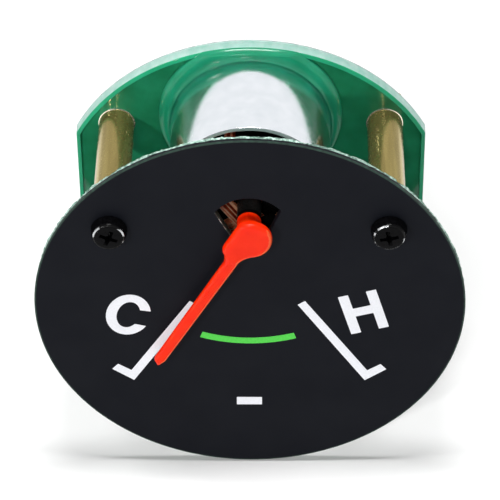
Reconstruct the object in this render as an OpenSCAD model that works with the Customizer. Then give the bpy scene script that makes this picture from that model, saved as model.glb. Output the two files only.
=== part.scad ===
// Water temperature gauge movement with dial, for an instrument case.
// X points right, Y points from the dial to the back, Z points up.
// The origin lies on the pointer's axis, in the plane of the rear nuts' outer faces.

/* [Dial] */
// Diameter of the dial plate
dial_d = 60; // [54:0.5:76]
// Thickness of the dial plate
dial_t = 1.2; // [0.6:0.1:2]
// Height of the pointer's axis above the centre of the dial
pivot_rise = 14.5; // [11:0.1:16]
// Diameter of the round part of the centre hole
hub_hole_d = 5.5; // [4.4:0.1:7]
// Radius of the fan-shaped part of the centre hole
fan_r = 5.8; // [4.5:0.1:7]
// Angle of the fan to each side of upright
fan_angle = 53; // [35:1:60]

/* [Pointer] */
// Reach of the pointer from its axis to its tip
pointer_len = 26.5; // [15:0.5:32]
// Angle of the pointer to the left of straight down, at rest
rest_angle = 29.4; // [0:0.1:60]
// Width of the arm beside the hub
arm_root_w = 1.85; // [1:0.05:2.6]
// Width of the arm beside the tip
arm_tip_w = 1.55; // [0.8:0.05:2]
// Thickness of the arm
arm_t = 0.9; // [0.5:0.1:1.2]
// Diameter of the disc on the hub
hub_d = 6.2; // [5.6:0.1:7]
// Distance from the axis to the flat on the disc's left side
shoulder_w = 2.6; // [2:0.1:2.8]
// Distance along the arm from the axis to the corner of the shoulder
shoulder_reach = 3.4; // [3.1:0.1:5]
// Radius of the hollow curve between the disc and the arm's right edge
hub_fillet_r = 3; // [1:0.1:4]
// Thickness of the disc on the hub
hub_t = 1.2; // [0.8:0.1:2]
// Diameter of the boss behind the disc
boss_d = 3.35; // [2.4:0.05:3.6]
// Gap between the disc and the face of the dial
pointer_gap = 1.2; // [0.6:0.1:3]
// Depth that the boss reaches behind the face of the dial
boss_reach = 1.8; // [1:0.1:2.4]

/* [Posts and screws] */
// Distance between the two posts
post_spacing = 38; // [33:0.5:40]
// Diameter of a post
post_d = 5; // [4:0.1:7]
// Distance from the dial's back to the base's floor
post_len = 22; // [20.2:0.1:26]
// Thread diameter of a dial screw
screw_d = 2.5; // [2:0.5:3]
// Head diameter of a dial screw
screw_head_d = 5; // [4:0.1:6.5]
// Head height of a dial screw
screw_head_h = 2; // [1.2:0.1:2.6]
// Depth of the dial screw in the post
screw_grip = 5; // [3:0.5:8]
// Thread diameter of the rear stud
stud_d = 3; // [2.5:0.5:3.5]
// Free length of the stud behind its nut
stud_reach = 2.5; // [1:0.5:14]
// Thickness of the nut on the stud
nut_t = 1.8; // [1.6:0.1:3]
// Width of the nut across its flats
nut_af = 5.5; // [5:0.5:7]
// Thickness of the washer under the nut
washer_t = 0.5; // [0.3:0.1:1]
// Diameter of the washer under the nut
washer_d = 6.4; // [5.6:0.1:8]

/* [Base moulding] */
// Diameter of the base
base_d = 55.9; // [55.8:0.1:60]
// Width of the base across its two flats
base_w = 49.7; // [47.5:0.1:54]
// Depth of the base's centre below the pointer's axis
base_drop = 14.5; // [13:0.1:14.6]
// Thickness of the base's floor
floor_t = 1.8; // [1.2:0.1:3]
// Width of the rim round the base
rim_w = 0.9; // [0.5:0.1:1.5]
// Height of the rim above the floor
rim_h = 0.2; // [0.2:0.1:2]
// Width of the rounded collar round the can
collar_w = 2.2; // [1.6:0.1:2.2]
// Height of the collar above the floor
collar_h = 1.1; // [0.7:0.1:1.5]

/* [Shield can] */
// Outer diameter of the can
can_d = 22.2; // [21.4:0.1:22.4]
// Length of the can
can_len = 14.5; // [10:0.1:17]
// Thickness of the can's wall and floor
can_wall = 0.8; // [0.4:0.1:1]
// Height of the can's seat above the base's floor
can_seat_h = 0.4; // [0.2:0.1:0.8]

/* [Movement] */
// Diameter of the spindle
spindle_d = 1; // [0.8:0.1:1.4]
// Diameter of the rotor magnet
magnet_d = 9; // [7:0.1:9.4]
// Thickness of the rotor magnet
magnet_t = 3.6; // [2.4:0.1:4]
// Angle of the front coil's wires from upright
coil_angle = 35; // [20:1:50]
// Width of each half of a coil
coil_w = 2; // [1.4:0.1:2.3]
// Depth of the wire in a coil
coil_t = 1.2; // [0.8:0.1:1.3]
// Diameter of the bobbin's bearing tube
tube_d = 3.3; // [3:0.1:3.6]
// Thickness of the bobbin's walls round the rotor
bobbin_wall = 1.1; // [0.8:0.1:1.2]
// Thickness of the bobbin's rear flange
flange_t = 3.8; // [2.8:0.1:4.4]
// Thickness of the fibre disc in the can
fibre_t = 0.4; // [0.2:0.1:0.8]
// Outer diameter of the front bearing bush
bush_d = 2.2; // [1.9:0.1:2.4]
// Diameter of the return magnet
return_magnet_d = 3; // [2:0.1:3.4]
// Thickness of the return magnet
return_magnet_t = 2; // [1:0.1:2.4]

/* [Terminals] */
// Distance between neighbouring terminals
terminal_pitch = 12; // [9:0.5:13]
// Width of a terminal blade
blade_w = 6.3; // [4.8:0.1:6.3]
// Thickness of the terminal strip and its blade
blade_t = 0.8; // [0.5:0.1:1]
// Length of a blade behind its strip
blade_len = 8; // [6:0.5:10]
// Depth of the blades below the pointer's axis
blade_drop = 24; // [22.5:0.5:30]
// Distance between neighbouring tag pins
pin_pitch = 5.5; // [4.8:0.1:6]
// Diameter of a tag pin
pin_d = 1; // [0.8:0.1:1.3]
// Height of the two barriers between the blades
barrier_h = 2; // [1:0.1:2.2]
// Diameter of the calibrating resistor
resistor_d = 4.5; // [3:0.1:6]
// Length of the calibrating resistor
resistor_len = 14; // [8:0.5:16]

/* [Hidden] */
$fn = 96;

// Clearances
bolt_gap = 0.1;
pin_clear = 0.7;
running_gap = 0.03;
rotor_gap = 0.4;
winding_gap = 0.15;
post_gap = 0.2;
can_gap = 0.1;
bobbin_gap = 0.3;
tube_gap = 0.6;
cut = 1;

// Threads of the posts: tapped bore of the nut on the stud, and spare depth of the post's tapped hole
core_d = 0.82 * stud_d;
tap_spare = 1;

// Depths behind the face of the dial
y_dial_back = dial_t;
y_floor = y_dial_back + post_len;
y_back = y_floor + floor_t;
y_seat = y_back + washer_t + nut_t;
y_can_back = y_floor - can_seat_h;
y_can_front = y_can_back - can_len;
y_can_floor = y_can_back - can_wall;
y_flange_back = y_can_floor - fibre_t;
y_flange_front = y_flange_back - flange_t;
front_wall = 1.4;
chamber_half = magnet_t / 2 + 0.5;
core_half_y = chamber_half + front_wall;
outer_half_y = core_half_y + 2 * coil_t + winding_gap;
inner_half_y = core_half_y + coil_t;
y_rotor = y_flange_front - 2 * winding_gap - outer_half_y;
y_tube_front = boss_reach + tube_gap;
y_hub_back = -pointer_gap;
y_hub_front = y_hub_back - hub_t;
y_spindle_front = y_hub_back - hub_t / 2;
spindle_tail = 1;
y_spindle_back = y_rotor + core_half_y + spindle_tail;
bush_len = 4;
bush_end = 0.8;
pin_back = y_back + blade_t + 0.8;

// Radii and half widths in the movement
can_r = can_d / 2;
collar_r = can_r + can_gap + collar_w;
bobbin_r = can_r - can_wall - bobbin_gap;
chamber_r = magnet_d / 2 + rotor_gap;
core_half = chamber_r + bobbin_wall;
inner_half = core_half + coil_t;
outer_core_half = inner_half + winding_gap;
outer_half = outer_core_half + coil_t;
coil_near = tube_d / 2 + bolt_gap;
coil_far = coil_near + coil_w;
guide_near = coil_far + post_gap;
post_front_lead = 0.5;
coil_bend = 2;
can_bend = 0.7;
fibre_r = can_r - can_wall - can_bend - bolt_gap;

// Tag pins, can screws and return magnet on the flange
pin_drop = 6.5;
can_screw_d = 2;
can_screw_x = 7;
can_screw_z = 4.5;
can_screw_head_d = 4;
can_screw_head_h = 1.3;
can_screw_tip_gap = 0.8;
return_magnet_z = 7;

// Terminals and what sits on them
strip_w = 3.6;
eye_r = 1.7;
rivet_d = 2;
rivet_bore_d = 1.2;
rivet_head_d = 3.6;
rivet_head_t = 0.4;
rivet_drop = 16;
lead_d = 0.8;
lead_drop = 20;
resistor_lift = 0.5;
y_resistor = y_floor - resistor_lift - resistor_d / 2;
detent_d = 1.6;
barrier_w = 1.2;
blade_foot = 3;

dial_steel = [0.12, 0.13, 0.14];
pointer_red = [0.92, 0.12, 0.05];
steel = [0.82, 0.84, 0.86];
brass = [0.72, 0.6, 0.33];
copper = [0.72, 0.36, 0.18];
black_plastic = [0.07, 0.07, 0.075];
green_plastic = [0.08, 0.5, 0.33];
ferrite = [0.25, 0.25, 0.27];
fibre_brown = [0.45, 0.3, 0.18];
resistor_buff = [0.78, 0.72, 0.58];

// Moves what is drawn from the dial's face back to the origin's plane
module from_dial() {
    translate([0, -y_seat, 0]) children();
}

// A rod along Y at the place at, from y0 to y1
module rod(d, y0, y1, at = [0, 0]) {
    translate([at[0], y0, at[1]]) rotate([-90, 0, 0]) cylinder(d = d, h = y1 - y0);
}

// A plate with its outline in X and Z, from y0 to y1
module plate(y0, y1) {
    translate([0, y1, 0]) rotate([90, 0, 0]) linear_extrude(height = y1 - y0) children();
}

// A body turned round the Y axis from a profile of radius and depth
module turned() {
    rotate([-90, 0, 0]) rotate_extrude() children();
}

// A flat bar of width w with square ends between two points
module bar(p, q, w) {
    d = q - p;
    translate(p) rotate(atan2(d[1], d[0])) translate([0, -w / 2]) square([norm(d), w]);
}

// A rectangle with round corners, centred
module round_rect(w, h, r) {
    square([w - 2 * r, h], center = true);
    square([w, h - 2 * r], center = true);
    for (sx = [-1, 1], sy = [-1, 1]) {
        translate([sx * (w / 2 - r), sy * (h / 2 - r)]) circle(r = r);
    }
}

function post_at(side) = [side * post_spacing / 2, 0];
function pin_at(i) = [i * pin_pitch, -pin_drop];
function terminal_x(i) = i * terminal_pitch;
function rivet_at(i) = [terminal_x(i), -rivet_drop];
function lead_at(i) = [terminal_x(i), -lead_drop];
function can_screw_at(side) = [side * can_screw_x, can_screw_z];

// Outline of the centre hole: a round part and a fan, whose straight sides touch the round part
module fan_hole() {
    hub_r = hub_hole_d / 2;
    touch_angle = fan_angle + acos(hub_r / fan_r);
    touch = hub_r * [sin(touch_angle), cos(touch_angle)];
    corner = fan_r * [sin(fan_angle), cos(fan_angle)];
    circle(r = hub_r);
    intersection() {
        circle(r = fan_r);
        polygon([
            [-touch[0], touch[1]],
            [-corner[0], corner[1]],
            2 * [-corner[0], corner[1]],
            2 * corner,
            corner,
            touch
        ]);
    }
}

module dial_plate() {
    color(dial_steel) from_dial() {
        plate(0, y_dial_back) difference() {
            translate([0, -pivot_rise]) circle(d = dial_d, $fn = 180);
            fan_hole();
            for (side = [-1, 1]) translate(post_at(side)) circle(d = screw_d + 4 * bolt_gap);
        }
    }
}

// Pan head with a cross recess; the head sits on the dial and the thread in the post
module dial_screw() {
    dome_r = screw_head_d * 0.64;
    recess_w = screw_head_d * 0.15;
    recess_len = screw_head_d * 0.52;
    recess_deep = screw_head_h * 0.6;
    difference() {
        turned() {
            mirror([0, 1]) intersection() {
                square([screw_head_d / 2, screw_head_h]);
                translate([0, screw_head_h - dome_r]) circle(r = dome_r);
            }
            square([screw_d / 2, y_dial_back + screw_grip]);
        }
        for (turn = [0, 90]) {
            rotate([0, turn, 0]) translate([-recess_len / 2, -screw_head_h - cut, -recess_w / 2])
                cube([recess_len, recess_deep + cut, recess_w]);
        }
    }
}

module dial_screws() {
    color(black_plastic) from_dial() {
        for (side = [-1, 1]) {
            translate([post_at(side)[0], 0, 0]) rotate([0, side * 25, 0]) dial_screw();
        }
    }
}

// A turned pillar, tapped at the front, with a threaded stud behind its shoulder.
// Up to the nut's outer face the thread is drawn at the nut's tapped bore
module post(side) {
    color(brass) from_dial() difference() {
        union() {
            rod(post_d, y_dial_back, y_floor, post_at(side));
            rod(core_d, y_floor - cut, y_seat + cut, post_at(side));
            rod(stud_d, y_seat, y_seat + stud_reach, post_at(side));
        }
        rod(screw_d, y_dial_back - cut, y_dial_back + screw_grip + tap_spare, post_at(side));
    }
}

module post_left() {
    post(-1);
}

module post_right() {
    post(1);
}

module post_washers() {
    color(steel) from_dial() {
        for (side = [-1, 1]) {
            plate(y_back, y_back + washer_t) translate(post_at(side)) difference() {
                circle(d = washer_d);
                circle(d = stud_d + 2 * bolt_gap);
            }
        }
    }
}

module post_nuts() {
    color(brass) from_dial() {
        for (side = [-1, 1]) {
            plate(y_back + washer_t, y_seat) translate(post_at(side)) difference() {
                rotate(side * 12) circle(d = nut_af / cos(30), $fn = 6);
                circle(d = core_d);
            }
        }
    }
}

// Outline of the arm, pointing along +X from the axis, with its right side towards +Y
module arm_outline() {
    taper = 1.4;
    polygon([
        [0, -arm_root_w / 2],
        [pointer_len - 0.7 * taper, -arm_tip_w / 2],
        [pointer_len, arm_tip_w / 6],
        [pointer_len - taper, arm_tip_w / 2],
        [0, arm_root_w / 2]
    ]);
}

// Outline of the disc: a flat and a shoulder on its left, a hollow curve into the arm on its right
module hub_outline() {
    hub_r = hub_d / 2;
    side = arm_root_w / 2;
    bevel = shoulder_w - side;
    fillet_y = side + hub_fillet_r;
    fillet_x = sqrt(pow(hub_r + hub_fillet_r, 2) - pow(fillet_y, 2));
    touch = hub_r / (hub_r + hub_fillet_r);
    intersection() {
        circle(r = hub_r);
        translate([-hub_r, -shoulder_w]) square([2 * hub_r, shoulder_w + hub_r]);
    }
    polygon([
        [-hub_r / 3, -shoulder_w],
        [shoulder_reach - 0.4 * bevel, -shoulder_w],
        [shoulder_reach, -shoulder_w + 0.25 * bevel],
        [shoulder_reach + 0.75 * bevel, -side],
        [shoulder_reach + 0.75 * bevel, 0],
        [-hub_r / 3, 0]
    ]);
    difference() {
        polygon([[0, 0], [fillet_x, 0], [fillet_x, side], [fillet_x * touch, fillet_y * touch]]);
        translate([fillet_x, fillet_y]) circle(r = hub_fillet_r);
    }
}

module pointer() {
    turn = 270 - rest_angle;
    color(pointer_red) from_dial() difference() {
        union() {
            plate(y_hub_front, y_hub_back) rotate(turn) hub_outline();
            plate(y_hub_front, y_hub_front + arm_t) rotate(turn) arm_outline();
            rod(boss_d, y_hub_back - hub_t / 2, boss_reach);
        }
        rod(spindle_d, y_spindle_front, boss_reach + cut);
    }
}

module spindle() {
    color(steel) from_dial() rod(spindle_d, y_spindle_front, y_spindle_back);
}

module rotor_magnet() {
    color(ferrite) from_dial() {
        plate(y_rotor - magnet_t / 2, y_rotor + magnet_t / 2) difference() {
            circle(d = magnet_d);
            circle(d = spindle_d);
        }
    }
}

module front_bush() {
    color(brass) from_dial() plate(y_tube_front, y_tube_front + bush_len) difference() {
        circle(d = bush_d);
        circle(d = spindle_d + 2 * running_gap);
    }
}

// Blind bush that the spindle's rear end runs in
module rear_bush() {
    y_mouth = y_rotor + chamber_half;
    color(brass) from_dial() difference() {
        rod(bush_d, y_mouth, y_spindle_back + bush_end);
        rod(spindle_d + 2 * running_gap, y_mouth - cut, y_spindle_back + bush_end / 4);
    }
}

// The four guides between the coils, as an outline about the axis
module guide_outline() {
    intersection() {
        circle(r = bobbin_r - bobbin_gap);
        for (turn = [0:90:270]) {
            rotate(turn) translate([guide_near, guide_near]) square(bobbin_r);
        }
    }
}

// The walls round the rotor that both coils are wound on
module core_outline() {
    square(2 * core_half, center = true);
    square([2 * outer_core_half, 2 * guide_near], center = true);
}

// Outlines drawn inside turn with the coils
module with_coils(y0, y1) {
    rotate([0, 90 - coil_angle, 0]) plate(y0, y1) children();
}

module bobbin_front() {
    color(black_plastic) from_dial() difference() {
        union() {
            with_coils(y_rotor - core_half_y, y_rotor) core_outline();
            with_coils(y_rotor - outer_half_y - post_front_lead, y_rotor) guide_outline();
            rod(tube_d, y_tube_front, y_rotor - core_half_y + cut / 2);
        }
        rod(2 * chamber_r, y_rotor - chamber_half, y_rotor + cut);
        rod(bush_d, y_tube_front - cut, y_tube_front + bush_len);
        rod(spindle_d + rotor_gap, y_tube_front - cut, y_rotor);
    }
}

module bobbin_rear() {
    color(black_plastic) from_dial() difference() {
        union() {
            with_coils(y_rotor, y_rotor + core_half_y) core_outline();
            with_coils(y_rotor, y_flange_front + cut / 2) guide_outline();
            rod(tube_d, y_rotor + core_half_y - cut / 2, y_flange_front + cut / 2);
            rod(2 * bobbin_r, y_flange_front, y_flange_back);
        }
        rod(2 * chamber_r, y_rotor - cut, y_rotor + chamber_half);
        rod(bush_d, y_rotor, y_spindle_back + bush_end);
        for (i = [-1:1]) rod(pin_d, y_flange_front + 0.6, y_flange_back + cut, pin_at(i));
        for (side = [-1, 1]) {
            rod(can_screw_d, y_flange_front + can_screw_tip_gap, y_flange_back + cut, can_screw_at(side));
        }
        rod(return_magnet_d, y_flange_back - return_magnet_t, y_flange_back + cut, [0, return_magnet_z]);
    }
}

// Two halves of one coil, wound past the bearing tube on both sides
module coil(half_x, half_y) {
    for (side = [-1, 1]) {
        z_low = side > 0 ? coil_near : -coil_far;
        translate([0, y_rotor, z_low]) linear_extrude(height = coil_w) difference() {
            round_rect(2 * half_x, 2 * half_y, coil_bend);
            square([2 * (half_x - coil_t), 2 * (half_y - coil_t)], center = true);
        }
    }
}

module coil_inner() {
    color(copper) from_dial() rotate([0, -coil_angle, 0]) coil(inner_half, inner_half_y);
}

module coil_outer() {
    color(copper) from_dial() rotate([0, 90 - coil_angle, 0]) coil(outer_half, outer_half_y);
}

module return_magnet() {
    color(ferrite) from_dial() {
        rod(return_magnet_d, y_flange_back - return_magnet_t, y_flange_back, [0, return_magnet_z]);
    }
}

module fibre_disc() {
    color(fibre_brown) from_dial() plate(y_flange_back, y_can_floor) difference() {
        circle(r = fibre_r);
        for (i = [-1:1]) translate(pin_at(i)) circle(d = pin_d + bolt_gap);
        for (side = [-1, 1]) translate(can_screw_at(side)) circle(d = can_screw_d + 2 * bolt_gap);
    }
}

// Profile of the cup: wall at the full radius, floor at the back, round corner between them
module can_profile(r, len, corner) {
    square([r - corner, len]);
    square([r, len - corner]);
    translate([r - corner, len - corner]) circle(r = corner);
}

module shield_can() {
    corner = can_bend + can_wall;
    color(steel) from_dial() difference() {
        translate([0, y_can_front, 0]) turned() difference() {
            can_profile(can_r, can_len, corner);
            translate([0, -cut]) can_profile(can_r - can_wall, can_len - can_wall + cut, can_bend);
        }
        for (i = [-1:1]) rod(pin_d + 2 * pin_clear, y_can_floor - cut, y_can_back + cut, pin_at(i));
        for (side = [-1, 1]) {
            rod(can_screw_d + 2 * bolt_gap, y_can_floor - cut, y_can_back + cut, can_screw_at(side));
        }
    }
}

// Outline of the base, drawn in by inset
module base_outline(inset) {
    intersection() {
        translate([0, -base_drop]) circle(d = base_d - 2 * inset, $fn = 180);
        translate([0, -base_drop]) square([base_w - 2 * inset, base_d + cut], center = true);
    }
}

// Low ring round the can, whose front falls away outwards in a quarter round
module collar() {
    turned() {
        translate([collar_r - collar_w, y_floor - collar_h])
            square([collar_w - collar_h, collar_h + cut / 2]);
        intersection() {
            translate([collar_r - collar_h, y_floor]) circle(r = collar_h);
            translate([collar_r - collar_h, y_floor - collar_h]) square([collar_h, collar_h + cut / 2]);
        }
    }
}

// Plate with a rim, a seat for the can, its collar, and two barriers between the blades
module base_body() {
    barrier_top = strip_w / 2 - rivet_drop;
    barrier_end = -blade_drop - blade_foot;
    difference() {
        plate(y_floor - rim_h, y_back) base_outline(0);
        plate(y_floor - rim_h - cut, y_floor) base_outline(rim_w);
    }
    collar();
    rod(2 * (can_r + can_gap) + cut, y_can_back, y_floor + cut / 2);
    for (side = [-1, 1]) {
        translate([side * terminal_pitch / 2 - barrier_w / 2, y_back - cut / 2, barrier_end])
            cube([barrier_w, barrier_h + cut / 2, barrier_top - barrier_end]);
    }
}

module base_moulding() {
    color(green_plastic) from_dial() difference() {
        base_body();
        for (side = [-1, 1]) {
            rod(stud_d + 2 * bolt_gap, y_floor - 2 * cut, y_back + cut, post_at(side));
            rod(can_screw_d + 2 * bolt_gap, y_can_back - cut, y_back + cut, can_screw_at(side));
            rod(lead_d + 2 * bolt_gap, y_floor - cut, y_back + cut, lead_at(side));
        }
        for (i = [-1:1]) {
            rod(pin_d + 2 * bolt_gap, y_can_back - cut, y_back + cut, pin_at(i));
            rod(rivet_d, y_floor - cut, y_back + cut, rivet_at(i));
        }
    }
}

// Self-tapping screws that hold the can and the bobbin to the base
module can_screws() {
    slot_w = can_screw_head_d * 0.2;
    y_head = y_back + can_screw_head_h;
    color(steel) from_dial() {
        for (side = [-1, 1]) {
            difference() {
                union() {
                    rod(can_screw_d, y_flange_front + can_screw_tip_gap, y_back + cut / 2, can_screw_at(side));
                    rod(can_screw_head_d, y_back, y_head, can_screw_at(side));
                }
                translate([can_screw_at(side)[0], y_head, can_screw_at(side)[1]]) rotate([0, side * 35, 0])
                    cube([can_screw_head_d + cut, can_screw_head_h, slot_w], center = true);
            }
        }
    }
}

module tag_pins() {
    color(brass) from_dial() {
        for (i = [-1:1]) rod(pin_d, y_flange_front + 0.6, pin_back, pin_at(i));
    }
}

// Stamped strip from a tag pin to a push-on blade that stands up behind it
module terminal(i) {
    foot_top = -blade_drop + blade_foot;
    shoulder = blade_w * 0.15;
    color(brass) from_dial() {
        plate(y_back, y_back + blade_t) difference() {
            union() {
                translate(pin_at(i)) circle(r = eye_r);
                bar(pin_at(i), rivet_at(i), 2 * eye_r - 0.6);
                translate(rivet_at(i)) circle(d = strip_w);
                bar(rivet_at(i), [terminal_x(i), foot_top], strip_w);
                translate([terminal_x(i) - blade_w / 2, -blade_drop - blade_t / 2])
                    square([blade_w, blade_foot + blade_t / 2]);
            }
            translate(pin_at(i)) circle(d = pin_d);
            translate(rivet_at(i)) circle(d = rivet_d);
            if (i != 0) translate(lead_at(i)) circle(d = lead_d);
        }
        translate([terminal_x(i), y_back + blade_t / 2, -blade_drop - blade_t / 2]) {
            linear_extrude(height = blade_t) difference() {
                polygon([
                    [-blade_w / 2, 0],
                    [blade_w / 2, 0],
                    [blade_w / 2, blade_len + blade_t / 2 - 2 * shoulder],
                    [blade_w / 2 - shoulder, blade_len + blade_t / 2],
                    [-blade_w / 2 + shoulder, blade_len + blade_t / 2],
                    [-blade_w / 2, blade_len + blade_t / 2 - 2 * shoulder]
                ]);
                translate([0, blade_len * 0.55]) circle(d = detent_d);
            }
        }
    }
}

module terminal_supply() {
    terminal(-1);
}

module terminal_sender() {
    terminal(0);
}

module terminal_earth() {
    terminal(1);
}

// Hollow rivets that clamp the strips to the base
module terminal_rivets() {
    y_front = y_floor - rivet_head_t;
    y_rear = y_back + blade_t + rivet_head_t;
    color(brass) from_dial() {
        for (i = [-1:1]) {
            difference() {
                union() {
                    rod(rivet_d, y_front, y_rear, rivet_at(i));
                    rod(rivet_head_d, y_front, y_floor, rivet_at(i));
                    rod(rivet_head_d, y_back + blade_t, y_rear, rivet_at(i));
                }
                rod(rivet_bore_d, y_front - cut, y_rear + cut, rivet_at(i));
            }
        }
    }
}

module resistor_body() {
    cap_len = resistor_len * 0.14;
    color(resistor_buff) from_dial() translate([-resistor_len / 2, y_resistor, -lead_drop]) rotate([0, 90, 0]) {
        difference() {
            union() {
                cylinder(d = resistor_d - 0.4, h = resistor_len);
                cylinder(d = resistor_d, h = cap_len);
                translate([0, 0, resistor_len - cap_len]) cylinder(d = resistor_d, h = cap_len);
            }
            translate([0, 0, -cut]) cylinder(d = lead_d, h = 1 + cut);
            translate([0, 0, resistor_len - 1]) cylinder(d = lead_d, h = 1 + cut);
        }
    }
}

// Each lead leaves the resistor along X, turns, and passes through base and strip
module resistor_leads() {
    color(steel) from_dial() {
        for (side = [-1, 1]) {
            reach = terminal_pitch - resistor_len / 2 + 1;
            translate([side * terminal_pitch, y_resistor, -lead_drop]) {
                rotate([0, -side * 90, 0]) cylinder(d = lead_d, h = reach);
                sphere(d = lead_d, $fn = 48);
            }
            rod(lead_d, y_resistor, pin_back, lead_at(side));
        }
    }
}

dial_plate();
dial_screws();
pointer();
spindle();
rotor_magnet();
front_bush();
rear_bush();
bobbin_front();
bobbin_rear();
coil_inner();
coil_outer();
return_magnet();
fibre_disc();
shield_can();
base_moulding();
post_left();
post_right();
post_washers();
post_nuts();
can_screws();
tag_pins();
terminal_supply();
terminal_sender();
terminal_earth();
terminal_rivets();
resistor_body();
resistor_leads();
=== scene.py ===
from math import acos, atan2, cos, degrees, hypot, pi, radians, sin, sqrt, tau

import bmesh
import bpy
from mathutils import Matrix, Vector, noise

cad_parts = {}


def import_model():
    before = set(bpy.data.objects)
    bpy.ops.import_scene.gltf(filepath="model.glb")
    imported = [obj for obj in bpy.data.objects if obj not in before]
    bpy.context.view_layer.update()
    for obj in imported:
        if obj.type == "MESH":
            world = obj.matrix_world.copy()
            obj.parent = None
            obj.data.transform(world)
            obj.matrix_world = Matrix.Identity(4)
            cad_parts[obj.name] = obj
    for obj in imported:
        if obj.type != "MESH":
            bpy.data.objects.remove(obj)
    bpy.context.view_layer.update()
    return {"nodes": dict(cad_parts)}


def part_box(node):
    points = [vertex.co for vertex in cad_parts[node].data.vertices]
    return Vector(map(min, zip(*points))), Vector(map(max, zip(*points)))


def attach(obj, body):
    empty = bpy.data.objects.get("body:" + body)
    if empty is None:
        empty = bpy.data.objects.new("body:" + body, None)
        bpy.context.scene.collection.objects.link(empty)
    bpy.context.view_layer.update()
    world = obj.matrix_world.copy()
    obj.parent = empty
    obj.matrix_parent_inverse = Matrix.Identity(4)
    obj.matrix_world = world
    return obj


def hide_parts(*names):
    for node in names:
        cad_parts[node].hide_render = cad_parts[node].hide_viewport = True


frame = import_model()

# Units and the frame
# Lengths below are millimetres: x right and z up from the pointer's axis, y back from the dial's face
MM = 0.001
FACE_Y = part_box("dial_plate")[0].y
QUARTER = pi / 2


def place(point):
    """A point in the frame of the CAD model, in metres."""
    return Vector((point[0] * MM, point[1] * MM + FACE_Y, point[2] * MM))


def span(node):
    """Lowest and highest corner of a CAD node, in the millimetres used here."""
    return [(corner - Vector((0, FACE_Y, 0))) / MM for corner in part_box(node)]


def evenly(first, last, count):
    """Values in equal steps, from the first to the last."""
    return [first + (last - first) * i / count for i in range(count + 1)]


# Sizes read from the frame
DIAL_LOW, DIAL_HIGH = span("dial_plate")
DIAL_R = (DIAL_HIGH.x - DIAL_LOW.x) / 2
DIAL_T = DIAL_HIGH.y
DIAL_CENTRE = Vector((0, (DIAL_LOW.z + DIAL_HIGH.z) / 2))
CAN_LOW, CAN_HIGH = span("shield_can")
CAN_R = (CAN_HIGH.x - CAN_LOW.x) / 2
BASE_LOW, BASE_HIGH = span("base_moulding")
WASHER_LOW, WASHER_HIGH = span("post_washers")
NUT_LOW, NUT_HIGH = span("post_nuts")
POST_LOW, POST_HIGH = span("post_left")
POST_R = (POST_HIGH.x - POST_LOW.x) / 2
POST_X = -(POST_LOW.x + POST_HIGH.x) / 2
SCREW_LOW, SCREW_HIGH = span("dial_screws")
SCREW_R = (SCREW_HIGH.z - SCREW_LOW.z) / 2
RESISTOR_LOW, RESISTOR_HIGH = span("resistor_body")
BASE_BACK = WASHER_LOW.y
BASE_T = 1.8
FLOOR_Y = BASE_BACK - BASE_T


# Outlines

def at_turn(radius, turn, centre=(0, 0)):
    """A point of a circle, its turn in radians from +X towards +Z."""
    return Vector((centre[0] + radius * cos(turn), centre[1] + radius * sin(turn)))


def polar(radius, angle):
    """A point at degrees from straight up, clockwise as the dial is read."""
    return at_turn(radius, radians(90 - angle))


def ring(radius, count, centre=(0, 0), start=0.0):
    """Points of a circle, counter-clockwise as the dial is read."""
    return [at_turn(radius, start + tau * i / count, centre) for i in range(count)]


def arc(radius, first, last, count, centre=(0, 0)):
    """Points of an arc between two angles in degrees, counted from +X towards +Z."""
    return [at_turn(radius, radians(angle), centre) for angle in evenly(first, last, count - 1)]


def rectangle(x0, x1, z0, z1):
    return [Vector((x0, z0)), Vector((x1, z0)), Vector((x1, z1)), Vector((x0, z1))]


def rounded(loop, radius, steps=3):
    """The loop with its corners rounded, all by one radius."""
    out = []
    for i, point in enumerate(loop):
        before = loop[i - 1] - point
        after = loop[(i + 1) % len(loop)] - point
        reach = min(radius, before.length * 0.45, after.length * 0.45)
        start = point + before.normalized() * reach
        end = point + after.normalized() * reach
        out += [start * (1 - t) ** 2 + point * 2 * t * (1 - t) + end * t ** 2 for t in evenly(0, 1, steps)]
    return out


def inset(loop, depth):
    """The loop moved to its left by depth: inwards where it runs counter-clockwise."""
    moved = []
    for i, point in enumerate(loop):
        before = (point - loop[i - 1]).normalized()
        after = (loop[(i + 1) % len(loop)] - point).normalized()
        side_a = Vector((-before.y, before.x))
        side_b = Vector((-after.y, after.x))
        moved.append(point + (side_a + side_b) * depth / max(0.35, 1 + side_a.dot(side_b)))
    return moved


def lift(loop, y):
    """Outline points in x and z, set at one depth."""
    return [Vector((p[0], y, p[1])) for p in loop]


def turned_rings(profile, count, centre=(0, 0), start=0.0):
    """Rings round a line along y, from (radius, y) pairs."""
    return [lift(ring(max(r, 1e-4), count, centre, start), y) for r, y in profile]


def edge_curve(radius, y, way, steps):
    """The rounded edge of a plate whose face is at y, as (inset, y) pairs."""
    turns = evenly(0, QUARTER, steps)
    curve = [(radius * (1 - sin(t)), y + way * radius * (1 - cos(t))) for t in turns]
    return [(radius * 1.6, y)] + curve


# Meshes and objects

def mesh_from(bm, name):
    mesh = bpy.data.meshes.new(name)
    bm.to_mesh(mesh)
    bm.free()
    return mesh


def merged(meshes, name):
    """One mesh from several."""
    bm = bmesh.new()
    for mesh in meshes:
        bm.from_mesh(mesh)
    return mesh_from(bm, name)


def add_object(name, data):
    """A new object in the scene, from a mesh, a camera or a light."""
    obj = bpy.data.objects.new(name, data)
    bpy.context.scene.collection.objects.link(obj)
    return obj


def baked(obj):
    """Removes an object and returns its mesh as its modifiers leave it."""
    bpy.context.view_layer.update()
    mesh = bpy.data.meshes.new_from_object(obj.evaluated_get(bpy.context.evaluated_depsgraph_get()))
    bpy.data.objects.remove(obj)
    return mesh


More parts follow.
